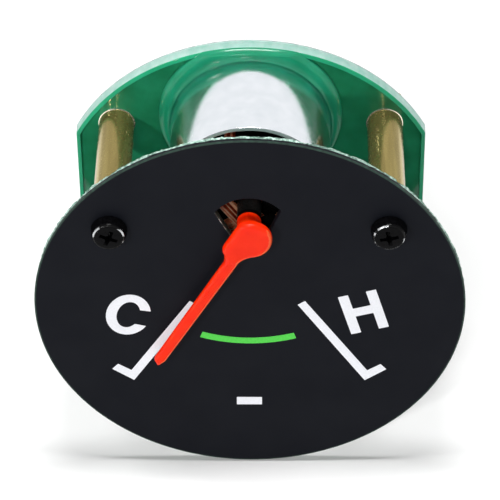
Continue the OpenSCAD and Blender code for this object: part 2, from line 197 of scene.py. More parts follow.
def finish_piece(mesh, name, materials, nodes=(), body="frame", sharp=40):
    """Shades a placed mesh and lets it ride on a body as a piece of the model."""
    mesh.polygons.foreach_set("use_smooth", [True] * len(mesh.polygons))
    mesh.set_sharp_from_angle(angle=radians(sharp))
    for material in materials:
        mesh.materials.append(material)
    obj = add_object(name, mesh)
    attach(obj, body)
    if nodes:
        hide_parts(*nodes)


def place_mesh(mesh, turn=0.0, centre=(0, 0)):
    """Turns a mesh about y, sets it at a centre and places it in the frame."""
    turned = Matrix.Rotation(radians(turn), 4, "Y")
    for vert in mesh.vertices:
        spot = turned @ vert.co
        vert.co = place((spot.x + centre[0], spot.y, spot.z + centre[1]))


class Shape:
    """Vertices and faces that grow into one mesh."""

    def __init__(self):
        self.bm = bmesh.new()

    def bridge(self, a, b, mat=0):
        """Joins two rings of equal count with faces; mat is their material or picks it for each."""
        for i in range(len(a)):
            j = (i + 1) % len(a)
            face = self.bm.faces.new((a[i], a[j], b[j], b[i]))
            face.material_index = mat(face) if callable(mat) else mat

    def bands(self, rings, mats=None):
        """Joins rings of equal count; mats gives the bands whose material isn't the first."""
        made = [[self.bm.verts.new(p) for p in points] for points in rings]
        for i, (a, b) in enumerate(zip(made, made[1:])):
            self.bridge(a, b, (mats or {}).get(i, 0))
        return made

    def loft(self, rings, mats=None):
        """Bands with a flat face at both ends."""
        made = self.bands(rings, mats)
        for end in (made[0], made[-1]):
            self.bm.faces.new(end)

    def hoop(self, rings):
        """Bands round a hole, whose last ring joins the first."""
        made = self.bands(rings)
        self.bridge(made[-1], made[0])

    def turn(self, profile, count, centre=(0, 0), mats=None):
        """A body turned about a line along y, from (radius, y) pairs. Radius 0 closes an end."""
        self.loft(turned_rings(profile, count, centre), mats)

    def cap(self, loops):
        """Fills the space inside the first loop and outside the others with triangles."""
        edges = []
        for loop in loops:
            for ends in zip(loop, loop[1:] + loop[:1]):
                edges.append(self.bm.edges.get(ends) or self.bm.edges.new(ends))
        bmesh.ops.triangle_fill(self.bm, use_beauty=True, edges=edges)

    def slab(self, loops, y0, y1, round0=0.1, round1=0.1, steps=3):
        """A plate between two depths with rounded edges; holes run clockwise."""
        path = edge_curve(round0, y0, 1, steps) + edge_curve(round1, y1, -1, steps)[::-1]
        made = [self.bands([lift(inset(loop, depth), y) for depth, y in path]) for loop in loops]
        self.cap([rings[0] for rings in made])
        self.cap([rings[-1] for rings in made])

    def brick(self, low, high, edge):
        """A block with rounded edges."""
        loop = rectangle(low[0], high[0], low[2], high[2])
        self.slab([rounded(loop, edge * 1.5)], low[1], high[1], edge, edge)

    def tube(self, path, radius, count, finish=None):
        """A round bar along a path of points; finish picks the material at each of them."""
        last = len(path) - 1
        turns = evenly(0, tau, count)[:-1]
        up = Vector((0.13, 0.29, 0.95)).normalized()
        rings = []
        for i, point in enumerate(path):
            along = (path[min(last, i + 1)] - path[max(0, i - 1)]).normalized()
            side = along.cross(up).normalized()
            up = side.cross(along).normalized()
            rings.append([point + radius * (side * cos(t) + up * sin(t)) for t in turns])
        self.loft(rings, {i: finish(i) for i in range(last)} if finish else None)

    def mesh(self, name):
        """The mesh in millimetres, before it has its place in the frame."""
        bmesh.ops.recalc_face_normals(self.bm, faces=self.bm.faces)
        return mesh_from(self.bm, name)

    def less(self, cutters, name):
        """The mesh with other shapes cut out of it one by one, in millimetres."""
        mesh = self.mesh(name)
        for cutter in cutters:
            obj = add_object(name, mesh)
            other = add_object("cutter", cutter.mesh("cutter"))
            boolean = obj.modifiers.new("cut", "BOOLEAN")
            boolean.operation = "DIFFERENCE"
            boolean.solver = "EXACT"
            boolean.object = other
            mesh = baked(obj)
            bpy.data.objects.remove(other)
        return mesh

    def piece(self, name, materials, nodes=(), sharp=40):
        """Places the mesh in the frame and finishes it as a piece of the fixed body."""
        mesh = self.mesh(name)
        place_mesh(mesh)
        finish_piece(mesh, name, materials, nodes, sharp=sharp)


# Materials

def feed(tree, entry, value):
    """Sets a node's input to a value, or links it to another node's output."""
    if isinstance(value, bpy.types.NodeSocket):
        tree.links.new(value, entry)
    else:
        entry.default_value = value


def add_node(tree, kind, inputs=None, **settings):
    """A new shader node with its settings and its inputs."""
    node = tree.nodes.new("ShaderNode" + kind)
    for key, value in settings.items():
        setattr(node, key, value)
    for key, value in (inputs or {}).items():
        feed(tree, node.inputs[key], value)
    return node


def grain(tree, size_mm, detail, stretch=(1, 1, 1)):
    """Noise whose lumps are about size_mm across, stretched along an axis by its factor."""
    here = add_node(tree, "TexCoord").outputs["Object"]
    scale = [1 / (size_mm * MM * factor) for factor in stretch]
    spot = add_node(tree, "Mapping", {"Vector": here, "Scale": scale}).outputs["Vector"]
    return add_node(tree, "TexNoise", {"Vector": spot, "Scale": 1.0, "Detail": detail}).outputs["Fac"]


def ramp(tree, source, stops):
    """Maps noise to colours or grey values at stops of (place, colour)."""
    made = add_node(tree, "ValToRGB", {"Fac": source})
    elements = made.color_ramp.elements
    while len(elements) < len(stops):
        elements.new(0.5)
    for element, (at, value) in zip(elements, stops):
        color = value if isinstance(value, tuple) else (value, value, value)
        element.position = at
        element.color = (*color, 1)
    return made.outputs["Color"]


def surface(name, color, rough, bump, **shader):
    """A material. Its colour, roughness and other inputs are values, or lists of a grain and the
    stops of its ramp; bump is a grain, its depth in millimetres and its strength."""
    material = bpy.data.materials.new(name)
    material.use_nodes = True
    tree = material.node_tree
    entries = tree.nodes["Principled BSDF"].inputs
    names = {"metallic": "Metallic", "specular": "Specular IOR Level"}
    for key, value in {"Base Color": color, "Roughness": rough, **shader}.items():
        if isinstance(value, list):
            value = ramp(tree, grain(tree, *value[0]), value[1:])
        feed(tree, entries[names.get(key, key.replace("_", " "))], value)
    size, depth_mm, strength = bump
    relief = {"Distance": depth_mm * MM, "Strength": strength, "Height": grain(tree, *size)}
    feed(tree, entries["Normal"], add_node(tree, "Bump", relief).outputs["Normal"])
    return material


def glow_inside(weight, depth, radius):
    """Light that spreads under the surface, its depth in metres."""
    return {"Subsurface_Weight": weight, "Subsurface_Scale": depth, "Subsurface_Radius": radius}


def ink(name, dark, light):
    return surface(name, [(0.3, 4), (0.3, dark), (0.6, light)], 0.5, [(0.1, 2), 0.004, 0.4], specular=0.3)


def red_plastic(name, dark, light):
    rough = [(0.4, 4), (0.3, 0.12), (0.7, 0.18)]
    return surface(name, [(3, 3), (0.3, dark), (0.7, light)], rough, [(0.25, 2), 0.004, 0.5], specular=0.12,
                   **glow_inside(0.5, 0.0016, (1.0, 0.12, 0.04)))


def green_plastic(name, dark, light, specular, rough=(0.05, 0.1)):
    rough = [(0.8, 5), (0.3, rough[0]), (0.7, rough[1])]
    return surface(name, [(5, 4), (0.3, dark), (0.7, light)], rough, [(1.6, 2), 0.004, 0.5],
                   specular=specular, **glow_inside(0.3, 0.0015, (0.1, 1.0, 0.5)))


def bare_edge(name, color):
    return surface(name, color, 0.4, [(0.15, 4), 0.03, 0.9], metallic=0.25)


def turned_brass(name, dark, light, stretch=(1, 14, 1)):
    rough = [(0.5, 5), (0.3, 0.17), (0.7, 0.3)]
    return surface(name, [(0.8, 6, stretch), (0.3, dark), (0.7, light)], rough,
                   [(0.35, 4, (1, 2, 1)), 0.006, 0.4], metallic=0.8)


def plated_steel(name, dark, light, rough=(0.12, 0.2), grain_mm=0.5):
    rough = [(grain_mm, 5), (0.3, rough[0]), (0.7, rough[1])]
    return surface(name, [(grain_mm * 4, 5), (0.3, dark), (0.7, light)], rough,
                   [(grain_mm * 0.6, 3), 0.003, 0.5], metallic=1.0)


def copper_wire(name, dark, light, rough=0.26):
    return surface(name, [(0.8, 4), (0.35, dark), (0.6, light)], rough, [(0.1, 2), 0.003, 0.4], metallic=0.3,
                   Coat_Weight=0.5, Coat_Roughness=0.1, Coat_Tint=(1.0, 0.6, 0.4, 1))


def plain(name, dark, light, rough, grain_mm=0.6, specular=0.3, depth_mm=0.01):
    return surface(name, [(grain_mm * 3, 5), (0.3, dark), (0.7, light)], rough,
                   [(grain_mm, 4), depth_mm, 0.6], specular=specular)


PAINT = surface(
    "dial_paint", specular=0.04,
    color=[(6, 4), (0.3, (0.0055, 0.0062, 0.009)), (0.7, (0.0072, 0.008, 0.011))],
    rough=[(0.5, 5), (0.3, 0.42), (0.7, 0.5)],
    bump=[(0.12, 2), 0.004, 0.5])
BEVEL = surface(
    "dial_bevel", specular=0.2,
    color=[(0.7, 5), (0.35, (0.006, 0.016, 0.012)), (0.65, (0.02, 0.05, 0.036))],
    rough=0.4,
    bump=[(0.1, 3), 0.01, 0.6])
# Bare metal of the torn rear edge; its pale mint tint is a painted reflection of the green base and of white
# light
BARE_EDGE_AND_PAINTED_REFLECTION = bare_edge(
    "dial_bare_edge_painted_reflection",
    [(0.35, 6), (0.3, (0.08, 0.17, 0.13)), (0.5, (0.3, 0.46, 0.39)), (0.7, (0.62, 0.78, 0.71))])
# Pale edge for the fan hole's left straight side only: a painted highlight
HOLE_PAINTED_HIGHLIGHT = bare_edge(
    "hole_painted_highlight",
    [(1.1, 4), (0.42, (0.02, 0.035, 0.03)), (0.52, (0.2, 0.28, 0.24)), (0.66, (0.62, 0.66, 0.62))])
WHITE = ink("white_ink", (0.74, 0.75, 0.79), (0.8, 0.81, 0.85))
GREEN_INK = ink("green_ink", (0.055, 0.51, 0.045), (0.075, 0.59, 0.06))
RED = red_plastic("pointer_red", (0.8, 0.016, 0.0), (0.86, 0.027, 0.001))
# A lighter red for the pointer's right-hand slopes: a painted highlight
RED_PAINTED_HIGHLIGHT = red_plastic("pointer_red_painted_highlight", (0.84, 0.085, 0.018), (0.9, 0.13, 0.035))
BLACK_STEEL = surface(
    "black_steel", specular=0.04,
    color=[(0.4, 4), (0.35, (0.001, 0.001, 0.0012)), (0.7, (0.0025, 0.0025, 0.003))],
    rough=[(0.3, 4), (0.3, 0.06), (0.7, 0.14)],
    bump=[(0.9, 3), 0.02, 0.5])
WORN_RIM = surface(
    "worn_rim", specular=0.1, metallic=[(1.1, 2), (0.5, 0.0), (0.56, 0.9)],
    color=[(1.1, 2), (0.5, (0.001, 0.001, 0.0012)), (0.56, (0.4, 0.41, 0.42))],
    rough=0.25,
    bump=[(0.3, 3), 0.01, 0.5])
BRASS = turned_brass("turned_brass", (0.235, 0.18, 0.057), (0.35, 0.275, 0.095))
STRIP_BRASS = turned_brass("strip_brass", (0.5, 0.39, 0.17), (0.68, 0.56, 0.3), (1, 1, 6))
# Cut face of the can's mouth in pale mint: painted light, and a painted reflection of the green base
CUT_RIM_PAINTED_LIGHT = plain("cut_rim_painted_light", (0.6, 0.85, 0.78), (0.75, 0.95, 0.9), 0.45, 0.3, 0.5)
ZINC = plated_steel("zinc_plate", (0.78, 0.82, 0.86), (0.86, 0.89, 0.93))
STEEL = plated_steel("bright_steel", (0.55, 0.56, 0.58), (0.7, 0.71, 0.73), (0.2, 0.34), 0.3)
TINNED = plated_steel("tinned_wire", (0.5, 0.5, 0.5), (0.68, 0.68, 0.67), (0.25, 0.4), 0.2)
COPPER = copper_wire("copper_wire", (0.75, 0.2, 0.08), (1.0, 0.45, 0.26))
# Near-white copper for strands that stand in for glints: a painted highlight; dark copper for strands in
# painted shade
COPPER_PAINTED_HIGHLIGHT = copper_wire("copper_painted_highlight", (1.0, 0.6, 0.36), (1.0, 0.8, 0.6), 0.2)
COPPER_PAINTED_SHADE = copper_wire("copper_painted_shade", (0.28, 0.03, 0.01), (0.5, 0.09, 0.03))
BLACK_PLASTIC = surface(
    "black_plastic", specular=0.02,
    color=[(1.5, 4), (0.3, 0.0018), (0.7, 0.004)],
    rough=[(0.3, 4), (0.3, 0.22), (0.7, 0.35)],
    bump=[(0.12, 2), 0.005, 0.6])
# The base's floor in a darker green than its lip and collar: painted shade of the recessed floor
GREEN_FLOOR_PAINTED_SHADE = green_plastic("green_plastic", (0.009, 0.15, 0.062), (0.019, 0.26, 0.122), 0.42)
# Lighter greens for the lip and the collar of the same plastic: painted light, and a painted glow along the
# lip
GREEN_LIP_PAINTED_LIGHT = green_plastic("green_lip_painted_light", (0.01, 0.25, 0.12), (0.016, 0.33, 0.165), 0.12, (0.1, 0.18))
GREEN_COLLAR_PAINTED_LIGHT = green_plastic("green_collar_painted_light", (0.009, 0.2, 0.1), (0.015, 0.27, 0.145), 0.2, (0.1, 0.16))
FROSTED = surface(
    "frosted_green", specular=0.4, **glow_inside(0.2, 0.001, (0.3, 1.0, 0.7)),
    color=[(1.2, 6, (1, 2, 1)),
           (0.25, (0.22, 0.43, 0.36)), (0.5, (0.3, 0.49, 0.43)), (0.75, (0.4, 0.56, 0.51))],
    rough=0.55,
    bump=[(0.25, 5), 0.02, 0.6])
BACK_EDGE = plain("base_back_edge", (0.24, 0.3, 0.29), (0.46, 0.52, 0.51), 0.6, 0.4)
# Paler brass for the burr ring at the post's shoulder: a painted highlight
BRASS_PAINTED_HIGHLIGHT = turned_brass("brass_painted_highlight", (0.7, 0.66, 0.52), (0.85, 0.8, 0.66))
FERRITE = plain("ferrite", (0.03, 0.03, 0.033), (0.06, 0.06, 0.065), 0.6, 0.2)
FIBRE = plain("fibre", (0.14, 0.07, 0.035), (0.24, 0.13, 0.07), 0.75, 0.3)
ENAMEL = plain("resistor_enamel", (0.5, 0.42, 0.28), (0.64, 0.55, 0.4), 0.5, 0.8, 0.4, 0.02)
SOLDER = plated_steel("solder", (0.5, 0.51, 0.52), (0.66, 0.67, 0.68), (0.15, 0.3), 0.4)


# Dial
HOLE_ROUND_R = 2.75
HOLE_FAN_R = 5.45
HOLE_FAN_LEFT = 57
HOLE_FAN_RIGHT = 53
SCREW_HOLE_R = 1.45
HOLE_SOFT = 0.08
BEVEL_W = 0.16
BARE_FROM = 0.93
EDGE_COUNT = 540


def fan_hole():
    """The centre hole, clockwise: a round part and a fan whose sides touch it."""
    touch = degrees(acos(HOLE_ROUND_R / HOLE_FAN_R))
    fan = evenly(-HOLE_FAN_LEFT, HOLE_FAN_RIGHT, 24)
    low = evenly(HOLE_FAN_RIGHT + touch, 360 - HOLE_FAN_LEFT - touch, 24)
    return [polar(HOLE_FAN_R, angle) for angle in fan] + [polar(HOLE_ROUND_R, angle) for angle in low]


def torn(i, row):
    """How far the rear edge is drawn in at one place, in millimetres."""
    at = Vector((*at_turn(1, tau * i / EDGE_COUNT), row)) * 9
    return 0.17 * noise.noise(at) + 0.15 * noise.noise(at * 3.7) + 0.12 * noise.noise(at * 9.1)


def edge_ring(depth, y, rough=0.0, row=0.0):
    """A ring near the dial's edge, in by depth and torn where it is rough."""
    out = []
    for i, point in enumerate(ring(DIAL_R, EDGE_COUNT, DIAL_CENTRE)):
        drawn = depth + rough * max(0.0, 0.12 + 1.1 * torn(i, row))
        moved = point - (point - DIAL_CENTRE).normalized() * drawn
        out.append(Vector((moved.x, min(DIAL_T, y + rough * torn(i, row + 5) * 1.5), moved.y)))
    return out


def dial_plate():
    """Painted plate with a worn front bevel and a torn, bare rear edge, whose pale green-white colour is
    partly a painted reflection.
    """
    shape = Shape()
    rows = [
        (1.6 * BEVEL_W, 0), (BEVEL_W, 0), (BEVEL_W * 0.35, BEVEL_W * 0.25), (0.02, BEVEL_W),
        (0.06, BEVEL_W + 0.12), (0.2, BARE_FROM - 0.1, 0.2, 0.5), (0.06, BARE_FROM, 0.8),
        (0.0, (BARE_FROM + DIAL_T) / 2, 0.9, 0.1), (0.0, DIAL_T - 0.12, 1.1, 0.2),
        (0.3, DIAL_T, 0.5, 0.3), (0.9, DIAL_T),
    ]
    bevel, bare_and_reflection, hole_highlight = 1, 2, 3
    mats = dict.fromkeys((0, 1, 2), bevel) | dict.fromkeys((5, 6, 7, 8), bare_and_reflection)
    made = [shape.bands([edge_ring(*row) for row in rows], mats)]
    front = [(2 * HOLE_SOFT, 0), (HOLE_SOFT, 0), (0, HOLE_SOFT)]
    path = front + [(depth, DIAL_T - y) for depth, y in front[::-1]]
    for loop in [fan_hole()] + [ring(SCREW_HOLE_R, 32, (side * POST_X, 0))[::-1] for side in (-1, 1)]:
        made.append(shape.bands([lift(inset(loop, depth), y) for depth, y in path]))
    fan = made[1]
    # The front rounding of the fan's left straight side gets the pale painted highlight, and its wall the
    # bevel colour
    for k, mat in ((1, hole_highlight), (2, bevel)):
        shape.bm.faces.get((fan[k][-1], fan[k][0], fan[k + 1][0], fan[k + 1][-1])).material_index = mat
    shape.cap([rings[0] for rings in made])
    shape.cap([rings[-1] for rings in made])
    shape.piece("dial_plate_painted", [PAINT, BEVEL, BARE_EDGE_AND_PAINTED_REFLECTION, HOLE_PAINTED_HIGHLIGHT], ["dial_plate"], 50)


# Printed marks lie on the dial as thin layers of ink
INK_T = 0.025
INK_SINK = 0.004
PRINT_X = -0.17
C_PLACE = (-16.95, -1.2 + DIAL_CENTRE.y)
H_PLACE = (15.83, -0.65 + DIAL_CENTRE.y)


def printed(name, loops, material):
    shape = Shape()
    for loop in loops:
        shape.slab([rounded(loop, 0.07, 2)], -INK_T, INK_SINK, 0.012, 0.001, 1)
    shape.piece(name, [material], sharp=60)


def turned_by(points, angle, centre):
    """Outline points turned counter-clockwise by an angle in degrees and set at a centre."""
    turn = Matrix.Rotation(radians(angle), 2)
    return [turn @ Vector(p) + Vector(centre) for p in points]


def letter_h():
    """A plain H: two stems and a bar."""
    wide, high, stem, low, top = 5.45, 7.25, 1.45, -0.52, 0.98
    x, z = wide / 2, high / 2
    bay = x - stem
    outline = [(-x, -z), (-bay, -z), (-bay, low), (bay, low), (bay, -z), (x, -z),
               (x, z), (bay, z), (bay, top), (-bay, top), (-bay, z), (-x, z)]
    return turned_by(outline, 15.8, H_PLACE)


def letter_c():
    """A plain C: a stroke round an oval, open at its right."""
    wide, high, stem = 6.2, 7.65, 1.5

    def sweep(half_w, half_h, upper, lower):
        turns = [radians(angle) for angle in evenly(upper, 360 - lower, 32)]
        return [Vector((half_w * cos(t), half_h * sin(t))) for t in turns]

    outer = sweep(wide / 2, high / 2, 22, 22)
    inner = sweep(wide / 2 - stem, high / 2 - stem * 0.93, 31, 37)
    return turned_by(outer + inner[::-1], -15.5, C_PLACE)


def bracket(side, lean=0.0):
    """The L at one end of the scale; lean moves the upper end of its bar outwards."""
    bar = [(6.83 + lean, 0.71), (7.85 + lean, 1.41)]
    foot = [(16.72, -11.87), (18.58, -10.64), (19.45, -11.63), (16.4, -13.8)]
    loop = [Vector((side * x + PRINT_X, z + DIAL_CENTRE.y)) for x, z in bar + foot]
    return loop if side < 0 else loop[::-1]


def scale_arc():
    inner, outer, left, right = 20.05, 21.15, 199.4, 162.2
    turns = evenly(left, right, 24)
    return [polar(outer, angle) for angle in turns] + [polar(inner, angle) for angle in turns[::-1]]


def dial_marks():
    dash = rectangle(-2.0, 1.6, -18.63 + DIAL_CENTRE.y, -17.17 + DIAL_CENTRE.y)
    printed("dial_letters", [letter_h(), letter_c()], WHITE)
    printed("dial_brackets", [bracket(-1, 0.33), bracket(1), dash], WHITE)
    printed("dial_green_arc", [scale_arc()], GREEN_INK)


# Dial screws

def screw_head_profile(radius, height, edge=0.18):
    """Pan head with a low dome and a tight rim, as (radius, y) pairs from its centre to its seat."""
    rim = 0.24 * radius
    flat = 0.72 * radius
    crown = 0.07 * height
    profile = [(flat * share, -height + crown * share ** 2) for share in evenly(0, 1, 6)]
    for angle in evenly(10, 80, 8)[1:]:
        turn = radians(angle)
        profile.append((flat + rim * (sin(turn) - 0.17), -height + crown + rim * (0.985 - cos(turn))))
    return profile + [(radius, -edge * 1.5), (radius, -edge * 0.6), (radius - edge * 0.4, 0)]


def dial_screw(side, turn):
    """Black pan head screw with a cross recess and a plain shank."""
    height = -SCREW_LOW.y
    above = -height - 0.3
    depth = height * 0.62
    shank = 1.25
    head = Shape()
    end = [(shank, 0), (shank, SCREW_HIGH.y - 0.3), (0, SCREW_HIGH.y)]
    head.turn(screw_head_profile(SCREW_R, height) + end, 64)
    mouth = (1.5, 0.3, above)
    bottom = (0.62, 0.2, depth - height)
    across, upright, core = Shape(), Shape(), Shape()
    across.loft([lift(rectangle(-x, x, -z, z), y) for x, z, y in (mouth, bottom)])
    upright.loft([lift(rectangle(-x, x, -z, z), y) for z, x, y in (mouth, bottom)])
    core.turn([(0, above), (0.6, above), (0.32, depth * 0.9 - height), (0, depth * 1.1 - height)], 24)
    mesh = head.less([across, upright, core], "head")
    place_mesh(mesh, turn, (side * POST_X, 0))
    return mesh


def dial_screws():
    """Both screws; the outer slope of their heads is worn."""
    mesh = merged([dial_screw(-1, 22), dial_screw(1, -12)], "dial_screws_black")
    for face in mesh.polygons:
        spot = face.center / MM
        away = hypot(abs(spot.x) - POST_X, spot.z) / SCREW_R
        if 0.78 < away < 0.88 and -0.9 < face.normal.y < -0.5:
            face.material_index = 1
    finish_piece(mesh, "dial_screws_black", [BLACK_STEEL, WORN_RIM], ["dial_screws"], sharp=35)


# Pointer
# The arm's own directions: along it from the axis, and across it to its right
REST_ANGLE = 29.4
HUB_FRONT = -2.4
HUB_BACK = -1.2
ARM_T = 0.9
BOSS_R = 1.675
BOSS_BACK = 1.8
HUB_R = 3.0
HUB_SHIFT = Vector((0.18, -0.33))
SKIN_VOXEL = 0.07
ALONG = at_turn(1, radians(270 - REST_ANGLE))
ACROSS = Vector((-ALONG.y, ALONG.x))


def from_arm(points):
    return [ALONG * p[0] + ACROSS * p[1] for p in points]


def arm_outline():
    """The arm's outline, from beside the hub to its blunt tip."""
    root, tip, reach = 0.92, 0.78, 26.8
    right = [(0, -root), (reach - 0.85, -tip), (reach - 0.6, 0.1 - tip)]
    left = [(reach + 0.05, 0.12), (reach - 0.2, 0.4), (reach - 1.3, tip), (0, root)]
    return right + left


def hub_outline():
    """The hub's outline: round on the right, straight on the left down to a shoulder."""
    flat, fillet_r, right, left = 2.55, 3.0, 0.6, 1.24
    fillet_z = right + fillet_r
    fillet_x = sqrt((HUB_R + fillet_r) ** 2 - fillet_z ** 2)
    touch = degrees(atan2(fillet_z, fillet_x))
    flat_turn = degrees(acos(flat / HUB_R))
    hollow = arc(fillet_r, 270, 180 + touch, 12, (fillet_x, fillet_z))
    disc = arc(HUB_R, touch, 270 - flat_turn, 40)
    shoulder = [(2.8, -flat), (3.3, 0.06 - flat), (3.7, 0.3 - flat), (4.15, 0.85 - flat),
                (4.45, -0.35 - left), (4.75, -0.08 - left), (5.2, -left)]
    return hollow + disc + shoulder


def one_skin(shapes, name):
    """Joins overlapping closed shapes into one skin with soft inner and outer corners."""
    obj = add_object(name, merged([shape.mesh("part") for shape in shapes], name))
    remesh = obj.modifiers.new("skin", "REMESH")
    remesh.mode = "VOXEL"
    remesh.voxel_size = SKIN_VOXEL
    relax = obj.modifiers.new("soften", "SMOOTH")
    relax.factor = 0.5
    relax.iterations = 5
    return baked(obj)


def pointer():
    """Moulded arm, hub and boss; the faces that slope to the arm's right are painted a lighter red as a
    painted highlight.
    """
    arm = Shape()
    arm.slab([from_arm(arm_outline())], HUB_FRONT + 0.05, HUB_FRONT + 0.05 + ARM_T, 0.45, 0.08, 5)
    hub = Shape()
    hub.slab([[p + HUB_SHIFT for p in from_arm(hub_outline())]], HUB_FRONT, HUB_BACK, 0.7, 0.1, 6)
    boss = Shape()
    boss_front = HUB_BACK - 0.4
    boss.turn([(0, boss_front), (BOSS_R, boss_front), (BOSS_R, BOSS_BACK - 0.1), (BOSS_R - 0.1, BOSS_BACK),
               (0, BOSS_BACK)], 64)
    mesh = one_skin([arm, hub, boss], "pointer_red")
    # Faces sloping to the arm's right get the lighter red, a painted highlight
    for face in mesh.polygons:
        sideways = face.normal.x * ACROSS.x + face.normal.z * ACROSS.y
        if face.normal.y < -0.25 and sideways > 0.3:
            face.material_index = 1
    place_mesh(mesh)
    finish_piece(mesh, "pointer_moulded", [RED, RED_PAINTED_HIGHLIGHT], ["pointer"], "pointer_shaft", 180)


# Posts, washers and nuts
STUD_R = 1.5
THREAD_PITCH = 0.5
THREAD_DEPTH = 0.3
NUT_FLATS = 5.5
NUT_COUNT = 72


def thread_rings(radius, y0, y1, count, centre):
    """Rings of a threaded length, whose ridge runs round as a helix and fades at its ends."""
    rings = []
    for y in evenly(y0, y1, int((y1 - y0) / THREAD_PITCH * 8)):
        fade = min(1.0, (y - y0) / THREAD_PITCH, (y1 - y) / THREAD_PITCH + 0.15)
        points = []
        for i in range(count):
            turn = tau * i / count
            wave = abs(((y / THREAD_PITCH - turn / tau) % 1.0) * 2 - 1)
            points.append(at_turn(radius - THREAD_DEPTH * fade * wave, turn, centre))
        rings.append(lift(points, y))
    return rings


def post(side, node):
    """Turned pillar with a thin burr at its shoulder in paler brass as a painted highlight, a plain neck and
    a threaded stud.
    """
    shape = Shape()
    count = 64
    centre = (side * POST_X, 0)
    chamfer = 0.12
    bore_r = 1.25
    burr_r = POST_R + 0.1
    profile = [
        (bore_r, DIAL_T + 6), (bore_r, DIAL_T + 0.2), (bore_r + 0.2, DIAL_T), (POST_R - chamfer, DIAL_T),
        (POST_R, DIAL_T + chamfer), (POST_R, FLOOR_Y - 0.2), (burr_r, FLOOR_Y - 0.16),
        (burr_r, FLOOR_Y - 0.01), (STUD_R, FLOOR_Y - 0.005), (STUD_R, BASE_BACK - 0.2),
    ]
    rings = turned_rings(profile, count, centre)
    rings += thread_rings(STUD_R, BASE_BACK - 0.1, POST_HIGH.y - 0.35, count, centre)
    rings += turned_rings([(STUD_R - 0.45, POST_HIGH.y)], count, centre)
    # The burr's bands get the paler brass, a painted highlight
    highlight_bands = {5: 1, 6: 1}
    shape.loft(rings, highlight_bands)
    shape.piece(node + "_turned", [BRASS, BRASS_PAINTED_HIGHLIGHT], [node], 35)


def washers():
    shape = Shape()
    outer = (WASHER_HIGH.z - WASHER_LOW.z) / 2
    for side in (-1, 1):
        centre = (side * POST_X, 0)
        loops = [ring(outer, 64, centre), ring(1.6, 40, centre)[::-1]]
        shape.slab(loops, WASHER_LOW.y, WASHER_HIGH.y, 0.08, 0.08)
    shape.piece("post_washers_pressed", [STEEL], ["post_washers"])


def hexagon(centre, start, face_y, way):
    """The nut's sides near one face, where the corners are turned off."""
    points = []
    for i in range(NUT_COUNT):
        turn = tau * i / NUT_COUNT
        from_flat = (turn + pi / 6) % (tau / 6) - pi / 6
        r = NUT_FLATS / 2 / cos(from_flat)
        drop = 0.02 + 0.577 * max(0.0, r - NUT_FLATS / 2 * 1.01)
        points += lift([at_turn(r, turn + start, centre)], face_y + way * drop)
    return points


def nuts():
    """Hexagon nuts with the corners turned off at both faces."""
    shape = Shape()
    face_r = NUT_FLATS / 2 * 0.97
    front = [(1.2, NUT_LOW.y + 0.25), (1.55, NUT_LOW.y), (face_r, NUT_LOW.y)]
    back = [(face_r, NUT_HIGH.y), (1.6, NUT_HIGH.y), (1.2, NUT_HIGH.y - 0.35)]
    for side in (-1, 1):
        centre = (side * POST_X, 0)
        start = radians(side * 12)
        sides = [hexagon(centre, start, NUT_LOW.y, 1), hexagon(centre, start, NUT_HIGH.y, -1)]
        shape.hoop(turned_rings(front, NUT_COUNT, centre, start) + sides
                   + turned_rings(back, NUT_COUNT, centre, start))
    shape.piece("post_nuts_hex", [STRIP_BRASS], ["post_nuts"], 25)


# Can

def shield_can():
    """Drawn cup with a thin rolled rim, a slight flare towards the base and a round rear corner."""
    wall, corner, lip, flare = 0.6, 1.5, 0.07, 0.3
    bore = CAN_R - wall
    front, back = CAN_LOW.y, CAN_HIGH.y
    side_y = front + 1.0
    profile = [(0, back - wall), (bore - 1.0, back - wall), (bore - 0.3, back - wall - 0.3)]
    profile += [(bore, back - wall - 1.0), (bore, front + 0.05), (bore + 0.05, front)]
    # The cut face of the mouth gets the pale mint painted light
    painted_light_rim = {len(profile) - 1: 1}
    for turn in evenly(0, QUARTER, 4):
        profile.append((CAN_R - lip + lip * sin(turn), front + lip - lip * cos(turn)))
    for share in evenly(0, 1, 16):
        profile.append((CAN_R + flare * share ** 1.7, side_y + (FLOOR_Y - side_y) * share))
    for turn in evenly(0, QUARTER, 8):
        profile.append((CAN_R - corner + corner * cos(turn), back - corner + corner * sin(turn)))
    profile += [(CAN_R - corner - 0.4, back), (0, back)]
    shape = Shape()
    shape.turn(profile, 128, mats=painted_light_rim)
    shape.piece("shield_can_drawn", [ZINC, CUT_RIM_PAINTED_LIGHT], ["shield_can"])


# Base moulding
BASE_R = (BASE_HIGH.z - BASE_LOW.z) / 2
BASE_CENTRE = Vector((0, (BASE_HIGH.z + BASE_LOW.z) / 2))
BASE_HALF_W = (BASE_HIGH.x - BASE_LOW.x) / 2
BASE_COUNT = 480
RIM_W = 0.62
RIM_H = 0.2
RIM_ROUND = 0.15
SEAT_R = CAN_R + 0.24
SEAT_H = 0.45
COLLAR_H = 1.1
COLLAR_R = 13.0
COLLAR_RISE = 1.45
COLLAR_SHOULDER = 0.8
# The base's materials by their places in its list
FLOOR_MAT, EDGE_MAT, LIP_MAT, COLLAR_MAT, BACK_MAT = range(5)


def base_distance(direction):
    """How far the base's edge is from the pointer's axis along a direction."""
    b = direction.dot(BASE_CENTRE)
    reach = b + sqrt(b * b - BASE_CENTRE.length_squared + BASE_R ** 2)
    return min(reach, BASE_HALF_W / max(1e-9, abs(direction.x)))


def edge_gap(x, z):
    """Distance from a point inside the base to its edge, be it round or flat."""
    return min(BASE_R - (Vector((x, z)) - BASE_CENTRE).length, BASE_HALF_W - abs(x))


def soft_step(t):
    t = max(0.0, min(1.0, t))
    return t * t * (3 - 2 * t)


